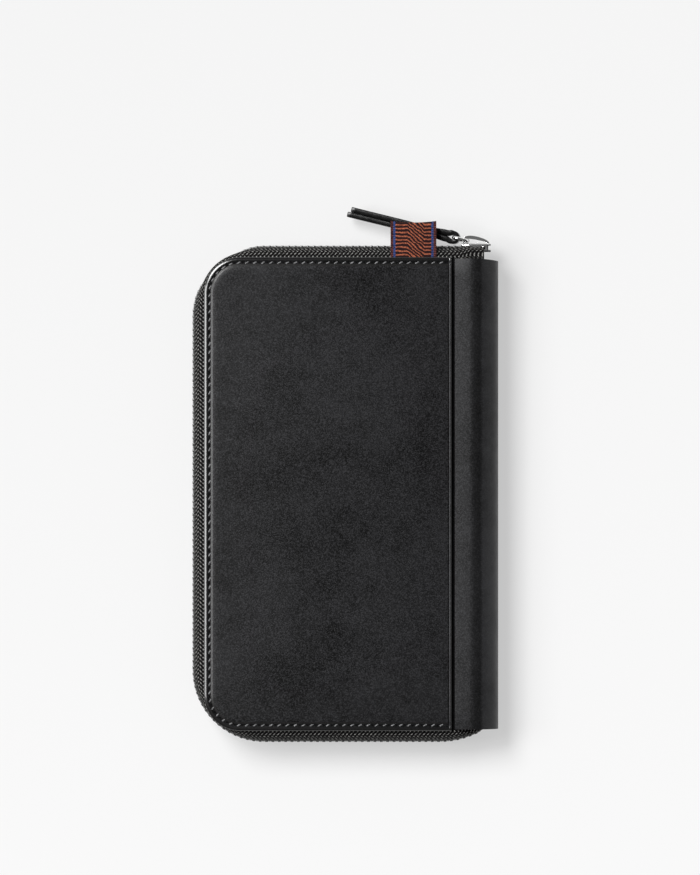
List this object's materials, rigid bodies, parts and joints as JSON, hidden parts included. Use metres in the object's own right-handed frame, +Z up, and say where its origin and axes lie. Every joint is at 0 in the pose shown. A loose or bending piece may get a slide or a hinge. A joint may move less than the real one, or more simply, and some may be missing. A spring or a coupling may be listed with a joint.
{
  "type": "travel document organizer",
  "caption": "Zip-around leather organizer for a passport, tickets and cards: two stiff covers on a round spine, a zip on three sides, a woven tab and a leather zip pull.",
  "frame": {"origin": "middle of the back cover's outer face, on which the closed organizer lies", "axes": "+X towards the spine, +Y along the spine towards the closed slider, +Z up through the covers"},
  "size_m": [0.1363, 0.2386, 0.026],
  "materials": {
    "cover_leather": "smooth, fine grain, slightly mottled",
    "pocket_leather": "smooth, satin",
    "lining_fabric": "fine twill",
    "board": "matt",
    "zip_tape": "herringbone weave",
    "zip_teeth": "gloss black",
    "bright_metal": "polished",
    "pull_leather": "gloss",
    "tab_fabric": "rust herringbone with a blue stripe at each side"
  },
  "bodies": {
    "back": {"back_panel": "cover_leather", "back_cover": "cover_leather", "back_board": "board", "back_lining": "lining_fabric", "back_zip_tape": "zip_tape", "back_zip_teeth": "zip_teeth", "zip_end_stop": "zip_teeth", "zip_pocket": "pocket_leather", "pocket_zip_tape": "zip_tape", "pocket_zip_teeth": "zip_teeth", "ticket_pocket": "pocket_leather", "passport_pocket": "pocket_leather"},
    "spine": {"spine_leather": "cover_leather", "spine_lining": "lining_fabric"},
    "front": {"front_panel": "cover_leather", "front_cover": "cover_leather", "front_board": "board", "front_lining": "lining_fabric", "front_zip_tape": "zip_tape", "front_zip_teeth": "zip_teeth", "slip_pocket": "pocket_leather", "card_slot_1": "pocket_leather", "card_slot_2": "pocket_leather", "card_slot_3": "pocket_leather", "card_slot_4": "pocket_leather", "card_slot_5": "pocket_leather", "card_slot_6": "pocket_leather", "woven_tab": "tab_fabric"},
    "slider": {"slider_body": "bright_metal", "slider_crown": "bright_metal"},
    "link": {"pull_link": "bright_metal"},
    "strap": {"pull_strap": "pull_leather"},
    "pocket_slider": {"pocket_slider": "bright_metal"},
    "pocket_pull": {"pocket_pull": "bright_metal"}
  },
  "joints": [
    {"name": "spine_fold_back", "type": "hinge", "parent": "back", "child": "spine", "pos_m": [0.06297, 0, 0.00373], "axis": [0, 1, 0], "range_deg": [0, 90], "deforming": ["spine_leather"]},
    {"name": "spine_fold_front", "type": "hinge", "parent": "spine", "child": "front", "pos_m": [0.06297, 0, 0.02227], "axis": [0, 1, 0], "range_deg": [0, 90], "deforming": ["spine_leather"]},
    {"name": "slider_run", "type": "slide", "parent": "back", "child": "slider", "axis": [-1, 0, 0], "range_m": [0, 0.084], "deforming": ["front_zip_teeth", "back_zip_teeth"]},
    {"name": "pull_swing", "type": "hinge", "parent": "slider", "child": "link", "pos_m": [0.05195, 0.11265, 0.013], "axis": [0, 0, 1], "range_deg": [-110, 5]},
    {"name": "strap_swing", "type": "hinge", "parent": "link", "child": "strap", "pos_m": [0.04564, 0.11422, 0.013], "axis": [0, 0, 1], "range_deg": [-30, 5]},
    {"name": "pocket_slider_run", "type": "slide", "parent": "back", "child": "pocket_slider", "axis": [-1, 0, 0], "range_m": [0, 0.068]},
    {"name": "pocket_pull_lift", "type": "hinge", "parent": "pocket_slider", "child": "pocket_pull", "pos_m": [0.0254, 0.0848, 0.0068], "axis": [0, 1, 0], "range_deg": [0, 150]}
  ],
  "couplings": [
    {"joint": "spine_fold_front", "follows": "spine_fold_back", "ratio": 1}
  ]
}
